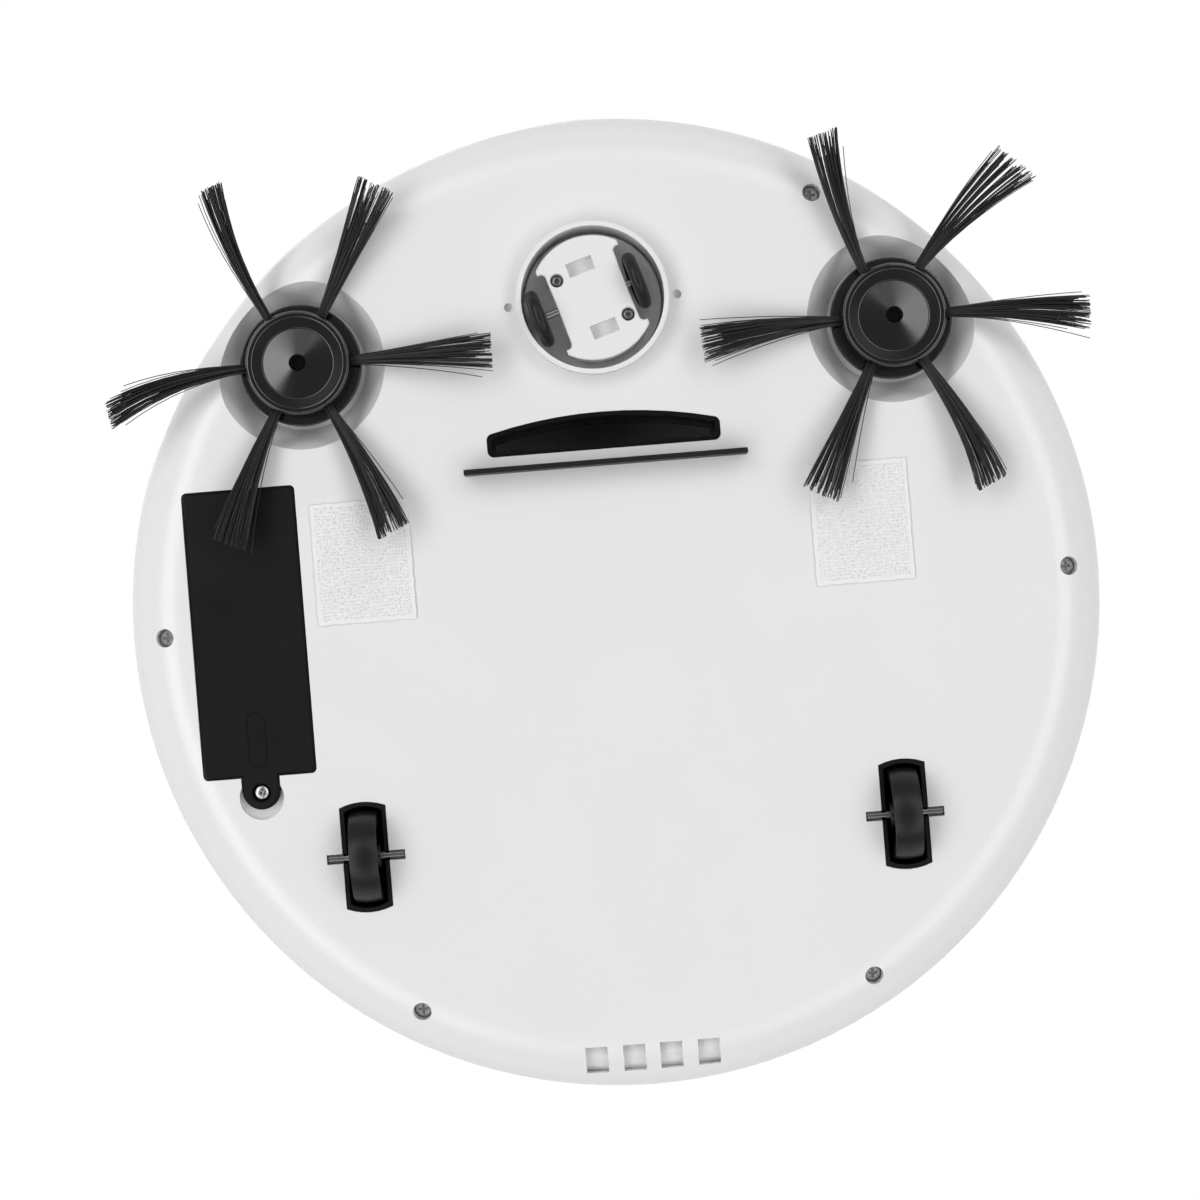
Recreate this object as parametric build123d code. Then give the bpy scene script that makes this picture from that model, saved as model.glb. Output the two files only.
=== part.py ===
"""Round robot vacuum with two side brushes, a swivelling drive module and a lift-out dust box.

Millimetres, standing on its wheels on z = 0, front to -Y, left to -X.
"""

import os
from math import acos, cos, pi, radians, sin, sqrt, tan

from build123d import *

# Body
body_d = 250.0
overall_h = 71.0
ground_gap = 9.5
edge_round = 15.0
side_flare = 11.0
top_round = 12.0
wall = 2.2
seam_z = 37.0
seam_gap = 0.5
lip_h = 3.0
lip_t = 2.0

# Clearances
run_fit = 0.06
seat_gap = 0.1
free_gap = 0.4

# Shell screws
screw_circle_r = 112.7
screw_count = 6
screw_hole_d = 4.6
screw_head_d = 4.0
screw_head_h = 1.8
screw_shank_d = 2.4
screw_seat_z = 15.5
screw_length = 26.5
boss_wall = 1.7

# Side brushes
brush_x = 73.7
brush_y = -65.0
pocket_rim_d = 42.2
pocket_floor_d = 31.0
pocket_depth = 9.5
hub_flange_d = 30.2
hub_disc_d = 25.6
hub_groove_d = 17.4
hub_rim_w = 1.5
hub_rim_round = 0.4
hub_face_z = 3.4
hub_groove_depth = 1.8
hub_flange_z = 11.3
hub_flange_t = 1.7
hub_hole_d = 2.8
hub_countersink_d = 4.2
hub_neck_d = 12.0
spindle_d = 5.0
tuft_count = 6
tuft_d = 3.2
tuft_z = 8.2
tuft_tip_z = 2.5
tuft_tip_r = 48.0
tuft_tip_w = 9.2
tuft_tip_t = 3.0
tuft_seat = 3.4
strand_count = 26
strand_d = 0.3
left_leans = (3.0, 7.6, -4.9, -10.9, 8.6, -1.1)
right_leans = (5.4, 3.3, -5.3, -7.9, 15.4, 15.8)

# Brush gears
gear_module = 0.8
gear_teeth = 30
pinion_teeth = 12
gear_t = 4.0
gear_backlash = 0.24
pressure_angle = 20.0
motor_shaft_d = 2.0
brush_motor_d = 20.0
brush_motor_flat = 15.4
brush_motor_h = 25.0
bracket_t = 2.0
bracket_leg_d = 4.0

# Drive module
drive_y = -75.4
steer_angle = -17.0
collar_d = 37.7
well_d = 35.4
collar_z = 5.0
drive_plate_d = 30.8
drive_plate_w = 18.0
drive_lobe_w = 21.5
drive_notch_l = 19.6
drive_plate_z = 5.6
drive_plate_t = 1.3
window_w = 6.7
window_l = 3.5
window_at = 8.2
drive_screw_u = 6.7
drive_screw_v = 7.05
drive_screw_d = 3.1
drive_wheel_d = 14.6
drive_wheel_w = 3.2
drive_track = 25.7
axle_float = -1.2
drive_axle_d = 2.0
table_disc_d = 34.2
table_disc_t = 2.0
table_neck_d = 12.0
drive_shaft_d = 3.0
drive_motor_d = 24.0
drive_motor_h = 27.0
drive_post_x = 12.6
dot_x = 21.0
dot_d = 2.2
dot_depth = 1.7

# Suction mouth and wiper
mouth_y = -42.8
mouth_w = 58.0
mouth_mid = 9.2
mouth_end = 5.5
mouth_corner = 1.6
duct_t = 1.1
duct_flange_w = 2.5
duct_top_z = 20.6
wiper_y = -34.7
wiper_l = 70.0
wiper_t = 1.3
wiper_z = 2.2
wiper_seat = 4.0
wiper_block_w = 5.2

# Battery
battery_x = -91.7
battery_y = 0.4
door_w = 28.1
door_l = 71.5
door_t = 2.0
door_bevel = 0.7
door_corner = 1.2
door_tab_w = 9.4
door_tab_l = 8.2
door_screw_at = 40.1
door_screw_d = 4.2
oval_at = 27.0
oval_l = 14.0
oval_w = 4.8
oval_line = 0.35
oval_depth = 0.2
cell_d = 18.4
cell_l = 65.0
bay_gap = 2.4
contact_t = 0.5

# Hook pads
pad_x = 62.0
pad_y = -15.0
pad_w = 25.0
pad_l = 30.6
pad_t = 1.0

# Rear wheels
rear_x = 67.1
rear_y = 58.1
rear_wheel_d = 22.8
rear_wheel_w = 6.8
rear_crown = 0.5
rear_axle_d = 2.3
rear_axle_l = 19.3
well_w = 11.4
well_l = 27.3
well_bow = 1.2
housing_t = 1.0

# Exhaust vents
vent_w = 5.5
vent_l = 7.0
vent_y = 113.3
vent_turn = 1.4
vent_xs = (-14.0, -4.6, 4.6, 14.0)

# Fan
fan_y = 46.0
fan_z = 38.0
fan_d = 42.0
fan_depth = 18.0
fan_wall = 1.6
fan_eye_d = 22.0
impeller_d = 35.0
blade_count = 9
blade_t = 1.2
blade_lean = 35.0
fan_motor_d = 24.0
fan_motor_l = 25.0
fan_shaft_d = 3.0
duct_w = 37.0
duct_h = 7.2

# Dust box and cover
cover_d = 136.0
cover_t = 2.65
cover_edge = 0.6
hinge_y = 57.8
hinge_d = 2.6
hinge_l = 40.0
hinge_pin_d = 1.6
hinge_pin_l = 4.0
hinge_swing = 1.05
grip_w = 28.0
grip_h = 0.9
bin_w = 84.0
bin_front = -50.0
bin_back = 42.0
bin_corner = 8.0
bin_t = 1.6
bin_z = 21.0
chimney_h = 18.0
top_t = 2.4
filter_w = 62.0
filter_h = 32.0
filter_t = 7.0
filter_frame = 4.0
pleat_count = 11

# Button, lens, board and socket
button_y = -92.0
button_d = 14.0
button_proud = 0.8
button_travel = 1.0
button_skirt_d = 17.0
button_skirt_t = 1.2
lens_d = 21.0
lens_w = 1.5
lens_t = 1.2
board_w = 52.0
board_l = 26.0
board_t = 1.6
board_z = 57.4
switch_h = 3.6
board_post_x = 20.0
socket_w = 9.0
socket_h = 3.4
socket_l = 7.5
socket_z = 50.0
socket_wall = 0.5

body_r = body_d / 2
floor_z = ground_gap + wall
pocket_z = ground_gap + pocket_depth
pocket_top = pocket_z + wall
gear_z = pocket_top + 1.0
bracket_z = gear_z + gear_t + 0.6
gear_reach = gear_module * (gear_teeth + pinion_teeth) / 2
axle_z = drive_wheel_d / 2
table_disc_z = drive_wheel_d + 1.6
well_top = table_disc_z + table_disc_t + free_gap
drive_motor_z = well_top + wall + 7.5
rear_z = rear_wheel_d / 2
cell_z = ground_gap + door_t + 1.2 + cell_d / 2
bay_top = cell_z + cell_d / 2 + 0.8
door_y0 = battery_y - door_l / 2
door_y1 = battery_y + door_l / 2
cover_z = overall_h - cover_t
flange_t = 1.6
flange_top = cover_z - 0.35
seat_z = flange_top - flange_t - 0.05
hinge_z = cover_z + cover_t / 2
board_top = board_z + board_t
skirt_z = overall_h - top_t - button_skirt_t - 0.3
stem_z = board_top + switch_h + button_travel + 0.3
screw_angles = [360 * i / screw_count for i in range(screw_count)]
UP = (Align.CENTER, Align.CENTER, Align.MIN)


def post(d, z0, z1, at=(0, 0)):
    """An upright cylinder between two heights."""
    return Pos(at[0], at[1], z0) * Cylinder(d / 2, z1 - z0, align=UP)


def block(w, l, z0, z1, at=(0, 0)):
    """An upright box between two heights."""
    return Pos(at[0], at[1], z0) * Box(w, l, z1 - z0, align=UP)


def bar_x(d, length, at):
    """A cylinder lying along X, centred on a point."""
    return Pos(*at) * Rot(0, 90, 0) * Cylinder(d / 2, length)


def bar_y(d, y0, y1, x, z):
    """A cylinder lying along Y between two places."""
    return Pos(x, y0, z) * Rot(-90, 0, 0) * Cylinder(d / 2, y1 - y0, align=UP)


def slab(outline, z0, z1):
    """An outline pushed up between two heights."""
    return extrude(Pos(0, 0, z0) * outline, z1 - z0)


def turned(points, at=(0, 0)):
    """A solid turned about an upright axis from (radius, height) points."""
    face = make_face(Polyline(*points, close=True))
    return Pos(at[0], at[1], 0) * revolve(Plane.XZ * face, Axis.Z)


def rounded_rings(solid, radii, round_r):
    """A turned solid with the ring edges at some radii rounded over."""
    rings = solid.edges().filter_by(GeomType.CIRCLE)
    return fillet([e for e in rings if any(abs(e.radius - r) < 0.001 for r in radii)], round_r)


def polar(r, angle):
    """A point on a circle about the body axis."""
    return (r * cos(radians(angle)), r * sin(radians(angle)))


def flare(height):
    """How far the side leans out over a height."""
    return height * tan(radians(side_flare))


def cup(d, z0, round_r, z1):
    """A dish with a rounded lower edge, whose side leans out to a diameter at the seam."""
    foot = d / 2 - flare(seam_z - z0)
    brim = d / 2 + flare(z1 - seam_z)
    dish = turned([(0, z0), (foot, z0), (brim, z1), (0, z1)])
    return fillet(dish.edges().filter_by(GeomType.CIRCLE).sort_by(Axis.Z)[0], round_r)


def dome(d, z0, z1, round_r):
    """A disc with its upper edge rounded."""
    disc = post(d, z0, z1)
    return fillet(disc.edges().filter_by(GeomType.CIRCLE).sort_by(Axis.Z)[-1], round_r)


def steered(shape):
    """Move a drive piece from its own axis to its place under the body."""
    return Pos(0, drive_y, 0) * Rot(0, 0, steer_angle) * shape


def mouth_outline():
    """The suction mouth: straight at the back, bowed to the front."""
    back = mouth_y + mouth_mid / 2
    side = back - mouth_end
    x = mouth_w / 2
    face = make_face(
        [
            Line((x, side), (x, back)),
            Line((x, back), (-x, back)),
            Line((-x, back), (-x, side)),
            ThreePointArc((-x, side), (0, mouth_y - mouth_mid / 2), (x, side)),
        ]
    )
    return fillet(face.vertices(), mouth_corner)


def well_outline(side, grow):
    """A rear wheel well with bowed ends."""
    x = well_w / 2 + grow
    y = well_l / 2 + grow
    face = make_face(
        [
            Line((x, y - well_bow), (x, well_bow - y)),
            ThreePointArc((x, well_bow - y), (0, -y), (-x, well_bow - y)),
            Line((-x, well_bow - y), (-x, y - well_bow)),
            ThreePointArc((-x, y - well_bow), (0, y), (x, y - well_bow)),
        ]
    )
    return Pos(side * rear_x, rear_y) * face


def bin_outline(grow):
    """The dust box seen from above."""
    length = bin_back - bin_front
    face = RectangleRounded(bin_w + 2 * grow, length + 2 * grow, bin_corner + grow)
    return Pos(0, (bin_back + bin_front) / 2) * face


def door_outline(grow):
    """The battery door with its rounded screw tab."""
    plate = Pos(battery_x, battery_y) * RectangleRounded(
        door_w + 2 * grow, door_l + 2 * grow, door_corner + grow
    )
    reach = door_y1 + door_tab_l - door_tab_w / 2
    tab = Pos(battery_x, (door_y1 - 3 + reach) / 2) * Rectangle(
        door_tab_w + 2 * grow, reach - door_y1 + 3
    )
    nose = Pos(battery_x, reach) * Circle(door_tab_w / 2 + grow)
    return plate + tab + nose


def pan_screw(head_d, head_h, shank_d, length):
    """A pan head screw pointing up, its head face on z = 0, with a cross recess."""
    head = post(head_d, 0, head_h)
    head = chamfer(head.edges().filter_by(GeomType.CIRCLE).sort_by(Axis.Z)[0], head_h * 0.35)
    screw = head + post(shank_d, head_h, head_h + length)
    for turn in (0, 90):
        screw -= Rot(0, 0, turn) * block(head_d * 0.6, head_d * 0.16, -1, head_h * 0.55)
    return screw


def brush_pocket_cut(side):
    """The bowl cut for one brush."""
    rim = pocket_rim_d / 2
    low = pocket_floor_d / 2
    points = [(0, 0), (rim, 0), (rim, ground_gap), (low, pocket_z), (0, pocket_z)]
    return turned(points, (side * brush_x, brush_y))


def brush_pocket_wall(side):
    """The moulded bowl round one brush."""
    rim = pocket_rim_d / 2 + wall
    low = pocket_floor_d / 2 + wall
    points = [(0, ground_gap), (rim, ground_gap), (low, pocket_top), (0, pocket_top)]
    return turned(points, (side * brush_x, brush_y))


def bottom_towers():
    """What stands up inside the bottom shell."""
    well_at = (0, drive_y)
    boss_d = screw_hole_d + 2 * boss_wall
    solid = post(well_d + 2 * wall, ground_gap, well_top + wall, well_at)
    wiper_top = ground_gap + wiper_seat + 1
    solid += block(wiper_l + 4, wiper_block_w, ground_gap, wiper_top, (0, wiper_y))
    solid += block(door_w + 4, door_l + 4, ground_gap, floor_z + wall, (battery_x, battery_y))
    bay_w = cell_d + bay_gap + 2 * wall
    bay_l = cell_l + bay_gap + 2 * wall
    solid += block(bay_w, bay_l, ground_gap, bay_top + wall, (battery_x, battery_y))
    solid += post(door_tab_w + 3, ground_gap, floor_z + wall + 6, (battery_x, door_screw_at))
    for side in (-1, 1):
        solid += brush_pocket_wall(side)
        solid += block(rear_axle_l + 3, 7.0, ground_gap, rear_z + 3.5, (side * rear_x, rear_y))
        solid += post(6.0, well_top, drive_motor_z, (side * drive_post_x, drive_y))
    for angle in screw_angles:
        solid += post(boss_d, ground_gap, seam_z, polar(screw_circle_r, angle))
    return solid


def battery_cuts():
    """Door recess, cell bay and door screw hole."""
    cut = slab(door_outline(seat_gap), 0, ground_gap + door_t + seat_gap)
    cut += block(cell_d + bay_gap, cell_l + bay_gap, 0, bay_top, (battery_x, battery_y))
    cut += post(door_tab_w + 1.6, 0, ground_gap + door_t + seat_gap, (battery_x, door_screw_at + 1.2))
    cut += post(2.2, 0, floor_z + wall + 4, (battery_x, door_screw_at))
    return cut


def drive_cuts():
    """Well and neck bore of the turntable, and the two blind dots."""
    cut = post(well_d, 0, well_top, (0, drive_y))
    cut += post(table_neck_d + 2 * run_fit, 0, well_top + wall + 1, (0, drive_y))
    for side in (-1, 1):
        cut += post(dot_d, 0, ground_gap + dot_depth, (side * dot_x, drive_y + 0.4))
    return cut


def rear_wheel_cuts(side):
    """Opening for a wheel housing and the grooves of its axle."""
    cut = slab(well_outline(side, seat_gap), 0, seam_z)
    groove = rear_axle_d + 2 * run_fit
    at = (side * rear_x, rear_y)
    cut += block(rear_axle_l + 2 * seat_gap, groove, 0, rear_z, at)
    cut += bar_x(groove, rear_axle_l + 2 * seat_gap, (*at, rear_z))
    return cut


def screw_cuts():
    """Deep holes of the shell screws."""
    cut = None
    for angle in screw_angles:
        at = polar(screw_circle_r, angle)
        hole = post(screw_hole_d, 0, screw_seat_z + screw_head_h, at)
        hole += post(screw_shank_d + 2 * seat_gap, 0, seam_z + 1, at)
        cut = hole if cut is None else cut + hole
    return cut


def bottom_shell():
    """The white moulding that everything hangs on."""
    outer = cup(body_d, ground_gap, edge_round, seam_z)
    inner = cup(body_d - 2 * wall, floor_z, edge_round - wall, seam_z + 1)
    shell = outer - inner + (bottom_towers() & outer)
    shell += post(collar_d, collar_z, ground_gap, (0, drive_y))
    shell -= drive_cuts()
    shell -= battery_cuts()
    shell -= screw_cuts()
    shell -= slab(offset(mouth_outline(), seat_gap / 2), 0, seam_z)
    shell -= block(wiper_l + seat_gap, wiper_t + seat_gap, 0, ground_gap + wiper_seat, (0, wiper_y))
    for side in (-1, 1):
        shell -= brush_pocket_cut(side)
        shell -= post(spindle_d + 2 * run_fit, 0, pocket_top + 1, (side * brush_x, brush_y))
        shell -= rear_wheel_cuts(side)
    for x in vent_xs:
        shell -= block(vent_w, vent_l, 0, floor_z + 6.0, (x, vent_y))
    return shell


def seat_ring():
    """The recess floor that carries the dust box."""
    return post(cover_d + 2 * free_gap + 2 * wall, seat_z - wall, overall_h - 1)


def socket_cut(grow):
    """The charge socket's hole in the back wall."""
    height = socket_h + 2 * grow
    z0 = socket_z - height / 2
    return block(socket_w + 2 * grow, 20, z0, z0 + height, (0, body_r))


def top_shell():
    """The white upper moulding, open in the middle for the dust box."""
    z0 = seam_z + seam_gap
    outer = dome(body_d, z0, overall_h, top_round)
    inner = dome(body_d - 2 * wall, z0 - 1, overall_h - top_t, top_round - wall)
    shell = outer - inner + seat_ring()
    lip_r = body_r - wall - free_gap
    shell += turned(
        [
            (lip_r - lip_t, seam_z - lip_h),
            (lip_r - flare(lip_h), seam_z - lip_h),
            (lip_r, seam_z),
            (lip_r, z0),
            (body_r - wall / 2, z0),
            (body_r - wall / 2, z0 + lip_h),
            (lip_r - lip_t, z0 + lip_h),
        ]
    )
    for angle in screw_angles:
        at = polar(screw_circle_r, angle)
        shell += post(screw_hole_d + 2 * boss_wall, seam_z, overall_h - top_t, at)
        shell -= post(screw_shank_d + 2 * seat_gap, seam_z - 1, screw_seat_z + screw_length + 4, at)
    for side in (-1, 1):
        shell += post(5.0, board_top, overall_h - 1, (side * board_post_x, button_y))
    shell -= post(cover_d + 2 * free_gap, seat_z, overall_h + 1)
    shell -= slab(bin_outline(0.6), seat_z - wall - 1, overall_h + 1)
    shell -= post(button_d + 2 * free_gap, seat_z, overall_h + 1, (0, button_y))
    shell -= lens_ring(seat_gap / 2)
    shell -= socket_cut(seat_gap)
    return shell


def lens_ring(grow):
    """The light ring round the button, let into the top face."""
    outer = post(lens_d + 2 * grow, overall_h - lens_t - grow, overall_h + 5 * grow, (0, button_y))
    return outer - post(lens_d - 2 * lens_w - 2 * grow, 0, overall_h + 1, (0, button_y))


def shell_screws():
    """Six screws that hold the shells together."""
    screw = pan_screw(screw_head_d, screw_head_h, screw_shank_d, screw_length)
    return [Pos(*polar(screw_circle_r, a), screw_seat_z) * screw for a in screw_angles]


def battery_door():
    """The black door with bevelled edges."""
    door = slab(door_outline(0), ground_gap, ground_gap + door_t)
    face = door.faces().sort_by(Axis.Z)[0]
    door = chamfer(face.outer_wire().edges(), door_bevel)
    at = (battery_x, door_screw_at)
    door -= post(door_screw_d + 0.6, 0, ground_gap + 1.1, at)
    door -= post(2.3, 0, ground_gap + door_t + 1, at)
    outline = SlotOverall(oval_l, oval_w) - SlotOverall(oval_l - 2 * oval_line, oval_w - 2 * oval_line)
    outline = Pos(battery_x, oval_at) * Rot(0, 0, 90) * outline
    return door - slab(outline, ground_gap - 1, ground_gap + oval_depth)


def battery_door_screw():
    """The screw in the door's tab."""
    screw = pan_screw(door_screw_d, 1.0, 2.0, 7.0)
    return Pos(battery_x, door_screw_at, ground_gap + 0.1) * screw


def battery_cell():
    """A round lithium cell with its raised pole."""
    y = battery_y - cell_l / 2
    cell = bar_y(cell_d, y, y + cell_l - 1.2, battery_x, cell_z)
    cell = fillet(cell.edges().filter_by(GeomType.CIRCLE), 0.8)
    return cell + bar_y(6.0, y + cell_l - 1.3, y + cell_l, battery_x, cell_z)


def battery_contacts():
    """Two bent leaves at the ends of the bay."""
    leaves = []
    for end in (-1, 1):
        y = battery_y + end * (cell_l + bay_gap - contact_t) / 2
        leaf = block(9.0, contact_t, cell_z - 6, cell_z + 6, (battery_x, y))
        near = battery_y + end * (cell_l / 2 + seat_gap)
        leaf += block(9.0, abs(y - near), cell_z - 1.5, cell_z + 1.5, (battery_x, (y + near) / 2))
        leaves.append(leaf)
    return leaves


def hook_pad(side):
    """A hook-and-loop pad stuck to the underside."""
    return block(pad_w, pad_l, ground_gap - pad_t, ground_gap, (side * pad_x, pad_y))


def wiper_strip():
    """The rubber blade behind the mouth, with a bevelled edge."""
    strip = block(wiper_l, wiper_t, wiper_z, ground_gap + wiper_seat, (0, wiper_y))
    edge = strip.edges().filter_by(Axis.X).sort_by(Axis.Z)[:2]
    return chamfer(edge, wiper_t * 0.3)


def inlet_duct():
    """The black duct from the mouth up to the dust box."""
    outline = offset(mouth_outline(), -seat_gap / 2)
    duct = slab(outline, ground_gap, duct_top_z)
    flange = slab(offset(mouth_outline(), duct_flange_w), floor_z, floor_z + 1.2)
    channel_y = wiper_y + wiper_l / 2 - wiper_block_w / 2 - seat_gap
    duct += flange - block(mouth_w * 2, wiper_l, 0, seam_z, (0, channel_y))
    return duct - slab(offset(mouth_outline(), -duct_t), 0, seam_z)


def wheel_housing(side):
    """The black insert round a rear wheel."""
    top = rear_wheel_d + 1.4
    box = slab(well_outline(side, 0), ground_gap + 0.2, top + housing_t)
    box -= slab(well_outline(side, -housing_t), 0, top)
    groove = rear_axle_d + 2 * run_fit
    at = (side * rear_x, rear_y)
    box -= block(rear_axle_l, groove, 0, rear_z, at)
    return box - bar_x(groove, rear_axle_l, (*at, rear_z))


def rear_axle(side):
    """A steel pin with chamfered ends."""
    pin = bar_x(rear_axle_d, rear_axle_l, (side * rear_x, rear_y, rear_z))
    return chamfer(pin.edges().filter_by(GeomType.CIRCLE), 0.25)


def rear_wheel(side):
    """A crowned wheel with a recessed web on both faces."""
    r = rear_wheel_d / 2
    w = rear_wheel_w / 2
    bore = rear_axle_d / 2 + run_fit
    half = [
        Polyline((-w, r - rear_crown), (-w, r * 0.78), (-w * 0.45, r * 0.7), (-w * 0.45, 3.4)),
        Polyline((-w * 0.45, 3.4), (-w - 0.3, 3.0), (-w - 0.3, bore), (w + 0.3, bore)),
        Polyline((w + 0.3, bore), (w + 0.3, 3.0), (w * 0.45, 3.4), (w * 0.45, r * 0.7)),
        Polyline((w * 0.45, r * 0.7), (w, r * 0.78), (w, r - rear_crown)),
        ThreePointArc((w, r - rear_crown), (0, r), (-w, r - rear_crown)),
    ]
    wheel = revolve(Plane.XZ * make_face(half), Axis.X)
    return Pos(side * rear_x, rear_y, rear_z) * wheel


def brush_hub(side):
    """The black hub: flange, upright disc, grooved face and tuft holes."""
    flange = hub_flange_d / 2
    disc = hub_disc_d / 2
    groove = hub_groove_d / 2
    hole = hub_hole_d / 2
    sink = hub_countersink_d / 2
    socket = spindle_d / 2 + seat_gap / 2
    points = [
        (hole, hub_face_z + 1.0),
        (sink, hub_face_z + 0.2),
        (groove, hub_face_z + hub_groove_depth),
        (disc - hub_rim_w, hub_face_z),
        (disc - 0.5, hub_face_z),
        (disc, hub_face_z + 0.5),
        (disc + 0.3, hub_flange_z),
        (flange - 0.4, hub_flange_z),
        (flange, hub_flange_z + 0.4),
        (flange, hub_flange_z + hub_flange_t),
        (hub_neck_d / 2, hub_flange_z + hub_flange_t),
        (hub_neck_d / 2, pocket_z - free_gap),
        (socket, pocket_z - free_gap),
        (socket, hub_face_z + 3.0),
        (hole, hub_face_z + 3.0),
    ]
    hub = rounded_rings(turned(points), (groove, disc - hub_rim_w, disc - 0.5, disc), hub_rim_round)
    for i in range(tuft_count):
        drill = bar_x(tuft_d + seat_gap, disc, (disc / 2 + disc - tuft_seat, 0, tuft_z))
        hub -= Rot(0, 0, 360 * i / tuft_count) * drill
    return Pos(side * brush_x, brush_y, 0) * hub


def strand_spots():
    """Spots spread evenly over a unit disc, one for each strand."""
    spots = []
    for i in range(strand_count):
        r = sqrt((i + 0.5) / strand_count)
        turn = i * pi * (3 - sqrt(5))
        spots.append((r * cos(turn), r * sin(turn), 1 - 0.07 * (i * 0.618 % 1)))
    return spots


def strand(spot, angle, lean):
    """One thin bristle through three sections: root, middle and tip."""
    root_r = hub_disc_d / 2 + 0.1
    root_w = (tuft_d - strand_d) / 2 - 0.1
    wires = []
    for t, bend in ((0.0, 0.0), (0.5, 0.35), (spot[2], 1.0)):
        turn = radians(angle + lean * bend)
        r = root_r + (tuft_tip_r - root_r) * t
        across = (1 - t) * root_w + t * tuft_tip_w / 2
        upright = (1 - t) * root_w + t * tuft_tip_t / 2
        mid_z = tuft_z + (tuft_tip_z - tuft_z) * (1.15 * t - 0.15 * t * t)
        corners = []
        for corner in (90, 210, 330):
            a = across * spot[0] + strand_d / 2 * cos(radians(corner))
            z = mid_z + upright * spot[1] + strand_d / 2 * sin(radians(corner))
            corners.append((r * cos(turn) - a * sin(turn), r * sin(turn) + a * cos(turn), z))
        wires.append(Wire.make_polygon(corners, close=True))
    return Solid.make_loft(wires, True)


def brush_tuft(side, i):
    """A bundle of bristles fused to the plug that holds it in the hub."""
    angle = 360 * i / tuft_count
    lean = (left_leans if side < 0 else right_leans)[i]
    disc = hub_disc_d / 2
    length = tuft_seat + 0.4
    plug = bar_x(tuft_d, length, (disc - tuft_seat + length / 2 + 0.05, 0, tuft_z))
    plug = (Rot(0, 0, angle) * plug).solid()
    tuft = plug.fuse(*[strand(spot, angle, lean) for spot in strand_spots()])
    return Pos(side * brush_x, brush_y, 0) * tuft


def gear_outline(teeth):
    """Involute teeth by formula, thinned by the backlash."""
    pitch = gear_module * teeth / 2
    base = pitch * cos(radians(pressure_angle))
    tip = pitch + 0.85 * gear_module
    root = pitch - 1.2 * gear_module
    start = max(base, root)
    inv = tan(radians(pressure_angle)) - radians(pressure_angle)
    half = pi / (2 * teeth) - gear_backlash / (4 * pitch)
    flank = []
    for k in range(4):
        r = start + (tip - start) * k / 3
        roll = acos(min(1.0, base / r))
        flank.append((r, half + inv - (tan(roll) - roll)))
    points = []
    for n in range(teeth):
        middle = 2 * pi * n / teeth
        rising = [(root, -flank[0][1])] + [(r, -a) for r, a in flank]
        falling = [(r, a) for r, a in reversed(flank)] + [(root, flank[0][1])]
        for r, a in rising + falling:
            points.append((r * cos(middle + a), r * sin(middle + a)))
    return make_face(Polyline(*points, close=True))


def brush_gear(side):
    """The toothed wheel on a brush spindle, one moulding."""
    gear = slab(gear_outline(gear_teeth), gear_z, gear_z + gear_t)
    gear += post(spindle_d, hub_face_z + 3.2, gear_z + 0.5)
    gear += post(spindle_d * 0.8, gear_z, bracket_z + bracket_t)
    return Pos(side * brush_x, brush_y, 0) * gear


def motor_x(side):
    """Where a brush motor stands: one gear reach in from its brush."""
    return side * (brush_x - gear_reach)


def motor_pinion(side):
    """The pinion on a brush motor's shaft."""
    teeth = Rot(0, 0, 180 / pinion_teeth) * gear_outline(pinion_teeth)
    pinion = slab(teeth, gear_z + 0.3, gear_z + gear_t - 0.3)
    pinion += post(motor_shaft_d, gear_z, bracket_z + bracket_t + 8)
    return Pos(motor_x(side), brush_y, 0) * pinion


def motor_bracket(side):
    """The plate over the gears that carries the motor and the spindle's top."""
    hub_at = (side * brush_x, brush_y)
    motor_at = (motor_x(side), brush_y)
    top = bracket_z + bracket_t
    reach = pocket_floor_d / 2 + wall - bracket_leg_d / 2 - 0.4
    plate = post(2 * reach + bracket_leg_d + 0.8, bracket_z, top, hub_at)
    plate += post(brush_motor_d + 4, bracket_z, top, motor_at)
    for angle in (75, 180, 285):
        x = side * (brush_x - reach * cos(radians(angle)))
        y = brush_y + reach * sin(radians(angle))
        plate += post(bracket_leg_d, pocket_top, bracket_z, (x, y))
    plate -= post(spindle_d * 0.8 + 2 * run_fit, 0, seam_z, hub_at)
    return plate - post(7.0, 0, seam_z, motor_at)


def brush_motor(side):
    """A small flat-sided motor can with its front boss and rear cap."""
    z0 = bracket_z + bracket_t
    can = post(brush_motor_d, z0, z0 + brush_motor_h)
    can &= block(brush_motor_d, brush_motor_flat, z0, z0 + brush_motor_h)
    can = fillet(can.edges().group_by(Axis.Z)[-1], 1.2)
    can += post(6.4, z0 - 1.5, z0)
    can += post(7.0, z0 + brush_motor_h - 0.1, z0 + brush_motor_h + 1.6)
    can -= post(motor_shaft_d + 2 * run_fit, 0, z0 + 9)
    return Pos(motor_x(side), brush_y, 0) * can


def drive_plate_outline(notch):
    """A disc narrowed to its lobes, and between the lobes to its flats."""
    face = Circle(drive_plate_d / 2) & Rectangle(drive_lobe_w, drive_plate_d)
    for side in (-1, 1):
        x = side * drive_plate_w / 2
        face -= Pos(x + side * 10, 0) * RectangleRounded(20, notch, 1.2)
    return face


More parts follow.
